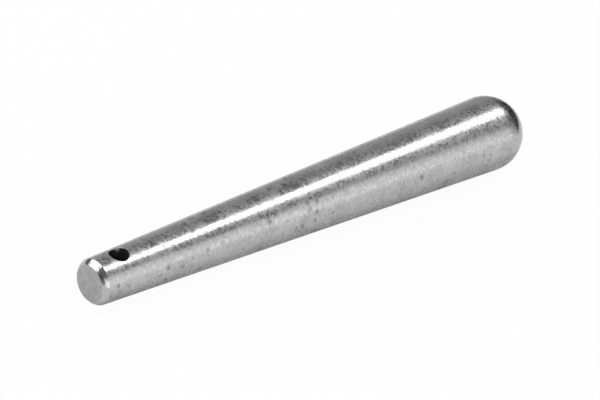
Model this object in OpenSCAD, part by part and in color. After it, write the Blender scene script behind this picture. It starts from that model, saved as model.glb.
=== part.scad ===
// Conical coupler pin: one turned steel piece with a slow taper, a domed
// driving end and a cross hole for a spring clip near its small end.
// The origin is the centre of the flat small end, +X runs along the axis to
// the dome and +Z along the clip hole. All sizes are in millimetres.

/* [Length] */
// Overall length, from the flat small end to the top of the dome
pin_length = 87; // [60:0.5:120]

/* [Cone] */
// Diameter of the cone where it starts, behind the small end's chamfers
small_d = 7; // [6:0.05:9]

/* [Dome] */
// Diameter of the ball-shaped driving end, which the cone runs into
dome_d = 12; // [9.5:0.1:16]

/* [Small end] */
// Diameter of the flat face
face_d = 5.65; // [4:0.05:5.9]
// Length along the axis of the steep first chamfer, next to the face
lead_len = 0.42; // [0.1:0.02:1]
// Length along the axis of the shallow second chamfer, next to the cone
break_len = 0.52; // [0.1:0.02:1]
// Share of the step from face to cone that the steep chamfer takes up
lead_share = 0.6; // [0.3:0.05:0.9]

/* [Clip hole] */
// Diameter of the cross hole
hole_d = 3; // [1:0.1:4]
// Distance of the hole's centre from the flat face
hole_offset = 4.9; // [4.5:0.1:20]

/* [Hidden] */

// Roundness of the turned surfaces and of the drilled hole
turned_fn = 160;
drilled_fn = 64;

face_r = face_d / 2;
small_r = small_d / 2;
dome_r = dome_d / 2;
// Where the cone starts, and where the ball of the dome has its centre
cone_start = lead_len + break_len;
ball_centre = pin_length - dome_r;
// Radius of the ridge between the two chamfers
ridge_r = face_r + lead_share * (small_r - face_r);

// Half angle at which the cone's side leaves the small end and just touches
// the ball, so that the dome goes on from the cone without a corner
cone_run = ball_centre - cone_start;
half_angle = asin(dome_r / norm([cone_run, small_r])) - atan2(small_r, cone_run);
// The circle on which the cone and the ball touch
touch_r = dome_r * cos(half_angle);
touch_x = ball_centre - dome_r * sin(half_angle);

// The drill starts and stops clear of the pin at its widest
drill_len = 2 * dome_d;

// Half of the lathe profile: radius to the right, distance along the axis up
module lathe_profile() {
    // Flat face, two chamfers and cone
    polygon([
        [0, 0],
        [face_r, 0],
        [ridge_r, lead_len],
        [small_r, cone_start],
        [touch_r, touch_x],
        [0, touch_x],
    ]);
    // Dome
    intersection() {
        translate([0, ball_centre])
            circle(d = dome_d, $fn = turned_fn);
        translate([0, touch_x])
            square(dome_d);
    }
}

// The pin as it leaves the lathe, with its axis turned from +Z to +X
module turned_blank() {
    rotate([0, 90, 0])
        rotate_extrude($fn = turned_fn)
            lathe_profile();
}

// What the drill takes out for the spring clip
module clip_hole() {
    translate([hole_offset, 0, -drill_len / 2])
        cylinder(d = hole_d, h = drill_len, $fn = drilled_fn);
}

module pin() {
    color([0.70, 0.70, 0.70])
        difference() {
            turned_blank();
            clip_hole();
        }
}

pin();
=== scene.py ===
import math

import bmesh
import bpy
from mathutils import Matrix, Quaternion, Vector


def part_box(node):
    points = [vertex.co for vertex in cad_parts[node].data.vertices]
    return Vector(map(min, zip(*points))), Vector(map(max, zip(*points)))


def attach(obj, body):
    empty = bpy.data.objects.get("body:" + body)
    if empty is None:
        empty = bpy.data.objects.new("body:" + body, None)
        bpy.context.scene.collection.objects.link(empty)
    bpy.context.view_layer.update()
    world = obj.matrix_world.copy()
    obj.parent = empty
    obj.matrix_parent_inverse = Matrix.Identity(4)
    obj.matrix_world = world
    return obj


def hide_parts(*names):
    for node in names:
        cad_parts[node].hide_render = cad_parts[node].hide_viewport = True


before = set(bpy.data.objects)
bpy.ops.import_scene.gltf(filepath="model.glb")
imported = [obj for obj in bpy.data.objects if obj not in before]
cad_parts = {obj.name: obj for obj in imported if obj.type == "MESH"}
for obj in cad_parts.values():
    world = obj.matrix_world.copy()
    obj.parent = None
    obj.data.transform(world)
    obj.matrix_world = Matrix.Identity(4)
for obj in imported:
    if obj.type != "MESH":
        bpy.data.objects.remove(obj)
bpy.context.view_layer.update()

# ---------------------------------------------------------------------------
# The turned blank. One length of mild steel bar, turned on a lathe to a flat small
# end with two chamfers, a slow cone of 1 in 16 and a ball-shaped driving end that the
# cone runs into without a corner.

scene = bpy.context.scene
MM = 0.001

box_low, box_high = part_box("pin")
pin_length = box_high.x - box_low.x
ball_r = box_high.z
small_r = 3.5 * MM
face_r = 2.825 * MM
ridge_r = 3.23 * MM
ridge_x = 0.42 * MM
cone_start = 0.94 * MM

# The cone's side touches the ball, and that fixes the cone's half angle
ball_centre = pin_length - ball_r
cone_run = ball_centre - cone_start
half_angle = math.asin(ball_r / math.hypot(cone_run, small_r)) - math.atan2(small_r, cone_run)
touch_x = ball_centre - ball_r * math.sin(half_angle)


def cone_radius(x):
    """The cone's radius at a distance from the small end."""
    return small_r + (x - cone_start) * math.tan(half_angle)


# The clip hole's place, and the square of small faces that it will be let into
hole_x = 4.9 * MM
hole_r = 1.5 * MM
steps_around = 240
window_steps = 42
window_half = 2.1 * MM
window_start = hole_x - window_half
window_end = hole_x + window_half

# Half of the pin's outline, from the centre of the small end to the tip of the ball.
# A ring close inside the rim keeps the flat face flat up to its edge.
face_rings = 6
rim_margin = 0.15 * MM
neck_rings = 8
cone_ring_gap = 1.5 * MM
ball_rings = 48
outline = [(0, face_r * i / face_rings) for i in range(face_rings)]
outline += [(0, face_r - rim_margin), (0, face_r), (ridge_x, ridge_r)]
cone_x = [cone_start + (window_start - cone_start) * i / neck_rings for i in range(neck_rings)]
cone_x += [window_start + 2 * window_half * i / window_steps for i in range(window_steps)]
cone_rings = round((touch_x - window_end) / cone_ring_gap)
cone_x += [window_end + (touch_x - window_end) * i / cone_rings for i in range(cone_rings)]
outline += [(x, cone_radius(x)) for x in cone_x]
for i in range(ball_rings + 1):
    angle = -half_angle + (math.pi / 2 + half_angle) * i / ball_rings
    outline.append((ball_centre + ball_r * math.sin(angle), ball_r * math.cos(angle)))

# The outline is spun about the axis, and its points on the axis are welded into poles
weld = 0.0001 * MM
bm = bmesh.new()
points = [bm.verts.new((x, 0, r)) for x, r in outline]
wire = [bm.edges.new(pair) for pair in zip(points, points[1:])]
bmesh.ops.spin(bm, geom=points + wire, axis=(1, 0, 0), cent=(0, 0, 0),
               angle=2 * math.pi, steps=steps_around, use_merge=True)
bmesh.ops.remove_doubles(bm, verts=bm.verts, dist=weld)


def break_edges(edges, width):
    """Rounds sharp edges by a small width, with crisp shading on either side."""
    made = bmesh.ops.bevel(bm, geom=edges, offset=width, offset_type="OFFSET", segments=3,
                           profile=0.5, affect="EDGES", material=-1, clamp_overlap=True)
    rounded = set(made["faces"])
    for edge in bm.edges:
        if sum(f in rounded for f in edge.link_faces) == 1:
            edge.smooth = False


# The lathe tool leaves three corners very slightly rounded: the rim of the flat face,
# the ridge between the chamfers, and the shoulder where the cone starts
corner_width = 0.05 * MM
hair = 0.001 * MM
corners = []
for edge in bm.edges:
    first, second = (v.co for v in edge.verts)
    on_ring = abs(first.x - second.x) < hair
    rim = first.x < hair and abs(math.hypot(first.y, first.z) - face_r) < hair
    ridge = abs(first.x - ridge_x) < hair
    shoulder = abs(first.x - cone_start) < hair
    if on_ring and (rim or ridge or shoulder):
        corners.append(edge)
break_edges(corners, corner_width)

# ---------------------------------------------------------------------------
# The clip hole. A drill goes straight through near the small end, for the leg of a
# spring clip. Both mouths have a narrow broken edge, and the clip has worn the upper
# one wider at one place.

half_window_angle = math.pi * window_steps / steps_around


def on_cone(point, side):
    """A point seen along the hole, moved onto the cone's upper (1) or lower (-1) side."""
    r = cone_radius(point.x)
    return Vector((point.x, point.y, side * math.sqrt(r * r - point.y * point.y)))


# The square of small faces is cut away on both sides of the pin
for side in (1, -1):
    window = []
    for f in bm.faces:
        c = f.calc_center_median()
        if abs(c.x - hole_x) < window_half and abs(math.atan2(c.y, side * c.z)) < half_window_angle:
            window.append(f)
    bmesh.ops.delete(bm, geom=window, context="FACES")

# The hole's wall is drawn out from a ring at the middle of the pin. Each step gives the
# next ring's reach in hole radii, its depth below the cone, and its share of the wear.
wall_steps = ((1.0, 0.65 * MM, 0), (1.0, 0, 1.0), (1.12, 0, 0.7), (1.22, 0, 0.4))
worn_share = 0.15
worn_heading = math.radians(58)
worn_spread = math.radians(20)
patch_cuts = 4
middle = Matrix.Translation((hole_x, 0, 0))
ring = bmesh.ops.create_circle(bm, segments=4 * window_steps, radius=hole_r, matrix=middle)
waist = set(ring["verts"])
waist_edges = [e for e in bm.edges if e.verts[0] in waist]
mouths = []
for side in (1, -1):
    cut = [e for e in bm.edges if e.is_boundary and e not in waist_edges
           and side * (e.verts[0].co.z + e.verts[1].co.z) > 0]
    loop = waist_edges
    for reach, depth, wear in wall_steps:
        made = bmesh.ops.extrude_edge_only(bm, edges=loop)["geom"]
        loop = [g for g in made if isinstance(g, bmesh.types.BMEdge)]
        for v in (g for g in made if isinstance(g, bmesh.types.BMVert)):
            arm = Vector((v.co.x - hole_x, v.co.y, 0)).normalized() * hole_r * reach
            if side == 1:
                away = (math.atan2(arm.y, arm.x) - worn_heading) / worn_spread
                arm *= 1 + worn_share * wear * math.exp(-away * away)
            v.co = on_cone(Vector((hole_x + arm.x, arm.y, 0)), side)
            v.co.z -= side * depth
        if reach == 1.0 and depth == 0:
            mouths += loop
    # The last ring is joined to the cut in the cone, and the new faces follow the cone
    bridge = bmesh.ops.bridge_loops(bm, edges=loop + cut)
    patch = bmesh.ops.subdivide_edges(bm, edges=bridge["edges"], cuts=patch_cuts, use_grid_fill=True)
    for v in (g for g in patch["geom_inner"] if isinstance(g, bmesh.types.BMVert)):
        v.co = on_cone(v.co, side)
mouth_width = 0.05 * MM
break_edges(mouths, mouth_width)
bmesh.ops.recalc_face_normals(bm, faces=bm.faces)

# Each face gets the number of its material, from where its middle lies. The hole's wall
# and broken edges take the bore's dark colour, partly bare steel and partly painted shade,
# and the worn place has the bright look of the cone.
ON_CONE, ON_FACE, IN_HOLE, ON_CHAMFERS = 0, 1, 2, 3
wall_reach = mouth_width / 2
broken_reach = 1.2 * mouth_width
for f in bm.faces:
    f.smooth = True
    c = f.calc_center_median()
    sunk = cone_radius(c.x) - math.hypot(c.y, c.z)
    outside = math.hypot(c.x - hole_x, c.y) - hole_r
    in_wall = outside < wall_reach
    in_broken_edge = outside < broken_reach and sunk < mouth_width
    if c.x < hair:
        f.material_index = ON_FACE
    # The wall and broken edges get the dark bore colour, which is partly painted shade
    elif in_wall or in_broken_edge:
        f.material_index = IN_HOLE
    elif c.x < cone_start:
        f.material_index = ON_CHAMFERS
    else:
        f.material_index = ON_CONE

mesh = bpy.data.meshes.new("turned_pin")
bm.to_mesh(mesh)
bm.free()
pin = bpy.data.objects.new("turned_pin", mesh)
scene.collection.objects.link(pin)
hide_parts("pin")
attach(pin, "root")

# ---------------------------------------------------------------------------
# The skin of the cone and the ball: bright zinc plating over turned and tumbled mild
# steel. The zinc is an even grey that mirrors a lamp as one clean band, and the tumbling
# breaks up that band's edges with frosted spots, dull blotches and small dents.


def linear(code):
    """An sRGB hex colour as linear red, green, blue and alpha."""
    parts = [int(code[i:i + 2], 16) / 255 for i in (1, 3, 5)]
    return [c / 12.92 if c <= 0.04045 else ((c + 0.055) / 1.055) ** 2.4 for c in parts] + [1.0]


def add(tree, kind, inputs=(), **settings):
    """Adds a node; each input is given a value or the output that feeds it."""
    node = tree.nodes.new(kind)
    for name, value in settings.items():
        setattr(node, name, value)
    for socket, value in dict(inputs).items():
        if isinstance(value, bpy.types.NodeSocket):
            tree.links.new(value, node.inputs[socket])
        else:
            node.inputs[socket].default_value = value
    return node


def new_material(name):
    """A material with an empty node tree."""
    material = bpy.data.materials.new(name)
    material.use_nodes = True
    material.node_tree.nodes.clear()
    return material


zinc = new_material("zinc_plated_turned_steel")
tree = zinc.node_tree
where = add(tree, "ShaderNodeTexCoord").outputs["Object"]

# Broad blotches, about 4 mm long. Where they are low the plating is duller, and where
# they are high it has more frosted spots.
blotch_size = 4.0 * MM
blotch = add(tree, "ShaderNodeTexNoise", {"Vector": where, "Scale": 1 / blotch_size, "Detail": 3.0,
                                          "Roughness": 0.6}).outputs["Fac"]

# Frosted spots from tumbling. The real ones are about a tenth of a millimetre wide, too
# fine to show, so they are drawn five times as coarse.
spot_size = 0.54 * MM
spots = add(tree, "ShaderNodeTexNoise", {"Vector": where, "Scale": 1 / spot_size, "Detail": 1.5,
                                         "Roughness": 0.55}).outputs["Fac"]
haze = add(tree, "ShaderNodeMath", {0: blotch, 1: 0.6, 2: spots}, operation="MULTIPLY_ADD").outputs[0]
frost = add(tree, "ShaderNodeMapRange", {"Value": haze, "From Min": 0.64, "From Max": 0.88,
                                         "To Min": 0.04, "To Max": 0.80},
            interpolation_type="SMOOTHSTEP").outputs[0]

# The ball end is rubbed smoother than the cone, with a quarter of the frost
smooth_from = ball_centre + 3.0 * MM
along = add(tree, "ShaderNodeSeparateXYZ", {0: where}).outputs["X"]
rubbed = add(tree, "ShaderNodeMapRange", {"Value": along, "From Min": touch_x, "From Max": smooth_from,
                                          "To Min": 1.0, "To Max": 0.25},
             interpolation_type="SMOOTHSTEP").outputs[0]
frost = add(tree, "ShaderNodeMath", {0: frost, 1: rubbed}, operation="MULTIPLY").outputs[0]

# Turning marks: short ridges, narrow along the axis and longer round the pin. The lathe's
# feed is about a tenth of a millimetre a turn, so they too are drawn coarser than real.
mark_size = 0.34 * MM
stretch = (1.0, 0.42, 0.42)
long_way = add(tree, "ShaderNodeMapping", {"Vector": where, "Scale": stretch}).outputs[0]
marks = add(tree, "ShaderNodeTexNoise", {"Vector": long_way, "Scale": 1 / mark_size, "Detail": 1.0,
                                         "Roughness": 0.5}).outputs["Fac"]

# Dents: dull marks up to a millimetre wide and ragged at their edges, in loose clusters.
# Each cell of 1.5 mm may hold one, and chance and the cluster set its size, down to none.
cell_size = 1.5 * MM
cluster_size = 11.0 * MM
cells = add(tree, "ShaderNodeTexVoronoi", {"Vector": where, "Scale": 1 / cell_size})
chance = add(tree, "ShaderNodeSeparateColor", {0: cells.outputs["Color"]}).outputs[0]
cluster = add(tree, "ShaderNodeTexNoise", {"Vector": where, "Scale": 1 / cluster_size,
                                           "Detail": 0.0}).outputs["Fac"]
chance = add(tree, "ShaderNodeMath", {0: cluster, 1: 1.6, 2: chance}, operation="MULTIPLY_ADD").outputs[0]
dent_size = add(tree, "ShaderNodeMapRange", {"Value": chance, "From Min": 1.30, "From Max": 1.95,
                                             "To Min": 0.0, "To Max": 0.54}).outputs[0]
ragged = add(tree, "ShaderNodeMath", {0: spots, 1: 0.8, 2: cells.outputs["Distance"]},
             operation="MULTIPLY_ADD").outputs[0]
ragged = add(tree, "ShaderNodeMath", {0: ragged, 1: 0.4}, operation="SUBTRACT").outputs[0]
dent = add(tree, "ShaderNodeMapRange", {"Value": ragged, "From Max": dent_size,
                                        "To Min": 1.0, "To Max": 0.0},
           interpolation_type="SMOOTHSTEP").outputs[0]

# Relief, in millimetres: spots and turning marks stand up, and dents go down
spot_height = 0.010
mark_height = 0.014
dent_depth = 0.012
height = add(tree, "ShaderNodeMath", {0: spots, 1: spot_height}, operation="MULTIPLY").outputs[0]
height = add(tree, "ShaderNodeMath", {0: marks, 1: mark_height, 2: height},
             operation="MULTIPLY_ADD").outputs[0]
height = add(tree, "ShaderNodeMath", {0: dent, 1: -dent_depth, 2: height},
             operation="MULTIPLY_ADD").outputs[0]
bump = add(tree, "ShaderNodeBump", {"Height": height, "Distance": MM}).outputs[0]

# The colour goes from clean zinc towards a duller grey between the ridges, where the
# blotches are low and, most of all, in the dents. A Mix node's colours are its inputs
# 6 and 7.
groove_dullness = 0.21
blotch_dullness = 0.19
dent_dullness = 0.62
dull = add(tree, "ShaderNodeMapRange", {"Value": marks, "From Min": 0.35, "From Max": 0.65,
                                        "To Min": groove_dullness, "To Max": 0.0}).outputs[0]
patchy = add(tree, "ShaderNodeMapRange", {"Value": blotch, "From Min": 0.35, "From Max": 0.65,
                                          "To Min": blotch_dullness, "To Max": 0.0}).outputs[0]
dull = add(tree, "ShaderNodeMath", {0: dull, 1: patchy}, operation="ADD").outputs[0]
dull = add(tree, "ShaderNodeMath", {0: dent, 1: dent_dullness, 2: dull}, operation="MULTIPLY_ADD",
           use_clamp=True).outputs[0]
tone = add(tree, "ShaderNodeMix", {0: dull, 6: linear("#D0D0D0"), 7: linear("#7C7C7C")},
           data_type="RGBA").outputs[2]

# Two finishes of the same metal, the smooth one and the frosted one, mixed by the spots
bright = add(tree, "ShaderNodeBsdfPrincipled", {"Base Color": tone, "Metallic": 1.0, "Roughness": 0.20,
                                                "Normal": bump}).outputs[0]
frosted = add(tree, "ShaderNodeBsdfPrincipled", {"Base Color": tone, "Metallic": 1.0, "Roughness": 0.44,
                                                 "Normal": bump}).outputs[0]
skin = add(tree, "ShaderNodeMixShader", {0: frost, 1: bright, 2: frosted}).outputs[0]
add(tree, "ShaderNodeOutputMaterial", {"Surface": skin})

# ---------------------------------------------------------------------------
# The flat small end: the same plated steel, faced off square on the lathe. Facing leaves
# it satin, so it shows no band of light, only faint rings and soft mottling.

faced = new_material("zinc_plated_faced_end")
tree = faced.node_tree
where = add(tree, "ShaderNodeTexCoord").outputs["Object"]

# Facing rings about the axis, drawn coarser than the tool's real feed so that they show
facing_ring = 0.50 * MM
split = add(tree, "ShaderNodeSeparateXYZ", {0: where})
flat = add(tree, "ShaderNodeCombineXYZ", {0: 0.0, 1: split.outputs["Y"], 2: split.outputs["Z"]}).outputs[0]
from_axis = add(tree, "ShaderNodeVectorMath", {0: flat}, operation="LENGTH").outputs["Value"]
rings = add(tree, "ShaderNodeTexNoise", {"W": from_axis, "Scale": 1 / facing_ring, "Detail": 1.0},
            noise_dimensions="1D").outputs["Fac"]

# Mottling left by the plating, in spots of nearly a millimetre
mottle_size = 0.80 * MM
mottle = add(tree, "ShaderNodeTexNoise", {"Vector": where, "Scale": 1 / mottle_size,
                                          "Detail": 2.0}).outputs["Fac"]

# Relief in millimetres, then the colour, duller where rings and mottling are both low
ring_height = 0.012
mottle_height = 0.06
height = add(tree, "ShaderNodeMath", {0: rings, 1: ring_height}, operation="MULTIPLY").outputs[0]
height = add(tree, "ShaderNodeMath", {0: mottle, 1: mottle_height, 2: height},
             operation="MULTIPLY_ADD").outputs[0]
bump = add(tree, "ShaderNodeBump", {"Height": height, "Distance": MM}).outputs[0]
both = add(tree, "ShaderNodeMath", {0: rings, 1: 0.5, 2: mottle}, operation="MULTIPLY_ADD").outputs[0]
dull = add(tree, "ShaderNodeMapRange", {"Value": both, "From Min": 0.5, "From Max": 1.0,
                                        "To Min": 0.50, "To Max": 0.14}).outputs[0]
tone = add(tree, "ShaderNodeMix", {0: dull, 6: linear("#C6C6C6"), 7: linear("#7C7C7C")},
           data_type="RGBA").outputs[2]
skin = add(tree, "ShaderNodeBsdfPrincipled", {"Base Color": tone, "Metallic": 1.0, "Roughness": 0.38,
                                              "Normal": bump}).outputs[0]
add(tree, "ShaderNodeOutputMaterial", {"Surface": skin})

# ---------------------------------------------------------------------------
# The wall of the clip hole: drilled mild steel that the plating hardly reaches. It is
# rougher than the skin, with the drill's rings round it, and darker than bare steel would
# look: the dark grey is partly the bare steel and partly painted shade inside the hole.

drilled_with_painted_shade = new_material("drilled_bore_steel_with_painted_shade")
tree = drilled_with_painted_shade.node_tree
where = add(tree, "ShaderNodeTexCoord").outputs["Object"]

# The rings lie across the hole, which runs along Z. They are drawn coarser than the
# drill's real feed, so that they show.
drill_ring = 0.3 * MM
drill_ring_height = 0.05
across = add(tree, "ShaderNodeMapping", {"Vector": where, "Scale": (0.2, 0.2, 1.0)}).outputs[0]
rings = add(tree, "ShaderNodeTexNoise", {"Vector": across, "Scale": 1 / drill_ring,
                                         "Detail": 1.0}).outputs["Fac"]
height = add(tree, "ShaderNodeMath", {0: rings, 1: drill_ring_height}, operation="MULTIPLY").outputs[0]
bump = add(tree, "ShaderNodeBump", {"Height": height, "Distance": MM}).outputs[0]
# Dark grey base colour: partly bare steel, partly painted shade inside the hole
wall = add(tree, "ShaderNodeBsdfPrincipled", {"Base Color": linear("#707070"), "Metallic": 1.0,
                                              "Roughness": 0.5, "Normal": bump}).outputs[0]
add(tree, "ShaderNodeOutputMaterial", {"Surface": wall})

# ---------------------------------------------------------------------------
# The two chamfers: plated steel, cut by the last pass of the tool and hardly tumbled.
# They are cleaner than the cone and flash where they face a lamp.

chamfered = new_material("zinc_plated_chamfers")
tree = chamfered.node_tree
where = add(tree, "ShaderNodeTexCoord").outputs["Object"]

# Grain from the cut and the plating, drawn coarser than the real one so that it shows
grain_size = 0.42 * MM
grain_height = 0.04
grain = add(tree, "ShaderNodeTexNoise", {"Vector": where, "Scale": 1 / grain_size,
                                         "Detail": 2.0}).outputs["Fac"]
height = add(tree, "ShaderNodeMath", {0: grain, 1: grain_height}, operation="MULTIPLY").outputs[0]
bump = add(tree, "ShaderNodeBump", {"Height": height, "Distance": MM}).outputs[0]
edge_skin = add(tree, "ShaderNodeBsdfPrincipled", {"Base Color": linear("#C2C2C2"), "Metallic": 1.0,
                                                   "Roughness": 0.2, "Normal": bump}).outputs[0]
add(tree, "ShaderNodeOutputMaterial", {"Surface": edge_skin})

# The pin's materials, in the order of the numbers on its faces
for material in (zinc, faced, drilled_with_painted_shade, chamfered):
    mesh.materials.append(material)

# ---------------------------------------------------------------------------
# The floor: a disc of plain white paper under the pin. It is tilted by the cone's half
# angle, because the pin lies on the side of its cone while its axis stays level here.

floor_r = 0.16
floor_gap = 0.001 * MM
bm = bmesh.new()
bmesh.ops.create_circle(bm, cap_ends=True, segments=96, radius=floor_r)
under_pin = Matrix.Translation((pin_length / 2, 0, -floor_gap))
along_cone = Matrix.Translation((0, 0, -cone_radius(0))) @ Matrix.Rotation(half_angle, 4, "Y")
bmesh.ops.transform(bm, matrix=along_cone @ under_pin, verts=bm.verts)
floor_mesh = bpy.data.meshes.new("paper_floor")
bm.to_mesh(floor_mesh)
bm.free()
floor = bpy.data.objects.new("paper_floor", floor_mesh)
scene.collection.objects.link(floor)

# Matt white paper. The camera sees it almost pure white with a trace of the pin's shadow,
# and the metal sees a little of that white over the lit paper.
white_to_camera = 0.96
white_to_metal = 0.10
paper = new_material("white_paper")
tree = paper.node_tree
rays = add(tree, "ShaderNodeLightPath").outputs
mirrored = add(tree, "ShaderNodeMath", {0: rays["Is Glossy Ray"], 1: rays["Is Transmission Ray"]},
               operation="MAXIMUM").outputs[0]
mirrored = add(tree, "ShaderNodeMath", {0: mirrored, 1: white_to_metal}, operation="MULTIPLY").outputs[0]
white = add(tree, "ShaderNodeMath", {0: rays["Is Camera Ray"], 1: white_to_camera, 2: mirrored},
            operation="MULTIPLY_ADD").outputs[0]
lit = add(tree, "ShaderNodeBsdfDiffuse", {"Color": linear("#F2F2F2")}).outputs[0]
glow = add(tree, "ShaderNodeEmission", {"Color": linear("#FFFFFF"), "Strength": 1.0}).outputs[0]
mixed = add(tree, "ShaderNodeMixShader", {0: white, 1: lit, 2: glow}).outputs[0]
add(tree, "ShaderNodeOutputMaterial", {"Surface": mixed})
floor_mesh.materials.append(paper)

# ---------------------------------------------------------------------------
# The room, as the metal mirrors it: a soft grey that darkens towards the ceiling, a pale
# ground, and a few darker parts. The camera itself sees plain white behind the pin.

scene.view_settings.view_transform = "Standard"
world = bpy.data.worlds.new("studio")
scene.world = world
world.use_nodes = True
tree = world.node_tree
tree.nodes.clear()
heading = add(tree, "ShaderNodeTexCoord").outputs["Generated"]
rise = add(tree, "ShaderNodeSeparateXYZ", {0: heading}).outputs["Z"]
level = add(tree, "ShaderNodeMapRange", {"Value": rise, "From Min": 0.15, "From Max": 0.55,
                                         "To Min": 0.54, "To Max": 0.19},
            interpolation_type="SMOOTHSTEP").outputs[0]

# Each part is laid over the ones before it. Its line gives the direction of its middle,
# how many degrees from there it stays full and where it has faded out, and its brightness.
room_parts = (
    ((0.56, -0.51, 0.65), 4, 22, 0.26),       # front right and high: the band under the highlight
    ((-0.78, -0.32, 0.54), 12, 36, 0.10),     # behind the camera: the stripe on the chamfers
    ((-0.10, 0.95, 0.18), 14, 31, 0.04),      # low behind the pin: the chamfers near their top
    ((0, 0, -1), 91.146, 93.440, 0.98),       # the pale ground, up to just over the horizon
    ((0.60, 0.80, 0.00), 9, 28, 0.38),        # far right on the horizon: the pin's upper outline
    ((0.97, 0.14, 0.10), 20, 38, 0.01),       # past the ball end: the ball's dark crescent
)
for towards, full, faded, brightness in room_parts:
    near = add(tree, "ShaderNodeVectorMath", {0: heading, 1: Vector(towards).normalized()},
               operation="DOT_PRODUCT").outputs["Value"]
    level = add(tree, "ShaderNodeMapRange", {"Value": near, "From Min": math.cos(math.radians(faded)),
                                             "From Max": math.cos(math.radians(full)),
                                             "To Min": level, "To Max": brightness},
                interpolation_type="SMOOTHSTEP").outputs[0]
seen = add(tree, "ShaderNodeLightPath").outputs["Is Camera Ray"]
level = add(tree, "ShaderNodeMath", {0: level, 1: seen}, operation="MAXIMUM").outputs[0]
sky = add(tree, "ShaderNodeBackground", {"Color": linear("#FFFFFF"), "Strength": level}).outputs[0]
add(tree, "ShaderNodeOutputWorld", {"Surface": sky})

# ---------------------------------------------------------------------------
# The lights: soft boxes of one even brightness. A long strip overhead makes the bright
# band along the cone, and the others fill in the sides and the small end.


def lamp(name, centre, aim, turn, size, brightness):
    """A soft box facing a point and turned about that line; its power follows from its size."""
    data = bpy.data.lights.new(name, "AREA")
    data.shape = "RECTANGLE"
    data.size, data.size_y = size
    data.energy = brightness * size[0] * size[1] * math.pi
    box = bpy.data.objects.new(name, data)
    scene.collection.objects.link(box)
    box.location = centre
    facing = (Vector(centre) - Vector(aim)).to_track_quat("Z", "Y")
    box.rotation_euler = (facing @ Quaternion((0, 0, 1), math.radians(turn))).to_euler()


# The strip hangs level, high up beyond the ball end
lamp("overhead_strip", (0.83, -0.045, 1.0), (0.83, -0.045, 0), 28.7, (0.86, 0.33), 4.6)
# The left box lights the paper that the flat end mirrors, and the second chamfer
lamp("left_box", (-0.65, 1.15, 1.0), (-0.65, 1.15, 0), 0, (1.5, 1.9), 3.0)
# The front box stands upright before the pin and fills its lower side
lamp("front_box", (0.075, -1.0, 0.475), (0.075, 0, 0.475), 0, (2.15, 0.83), 0.74)
# The small card puts a glint on the second chamfer
lamp("small_card", (-0.32, -0.93, 0.20), (0, 0, 0), 0, (0.13, 0.34), 0.95)

# ---------------------------------------------------------------------------
# The camera: a long lens about half a metre away, looking down on the small end from
# the front left. It is rolled a little, which lays the pin flatter across the picture.

camera_data = bpy.data.cameras.new("camera")
camera_data.sensor_width = 36
camera_data.lens = 192
camera_data.clip_start = 0.01
camera = bpy.data.objects.new("camera", camera_data)
scene.collection.objects.link(camera)
scene.camera = camera
azimuth, elevation, roll = (math.radians(a) for a in (-48.771, 33.407, 11.387))
distance = 481.0 * MM
aim = Vector((42.15, 1.14, -0.38)) * MM
away = Vector((math.sin(azimuth) * math.cos(elevation), -math.cos(azimuth) * math.cos(elevation),
               math.sin(elevation)))
camera.location = aim + away * distance
camera.rotation_euler = (away.to_track_quat("Z", "Y") @ Quaternion((0, 0, 1), roll)).to_euler()
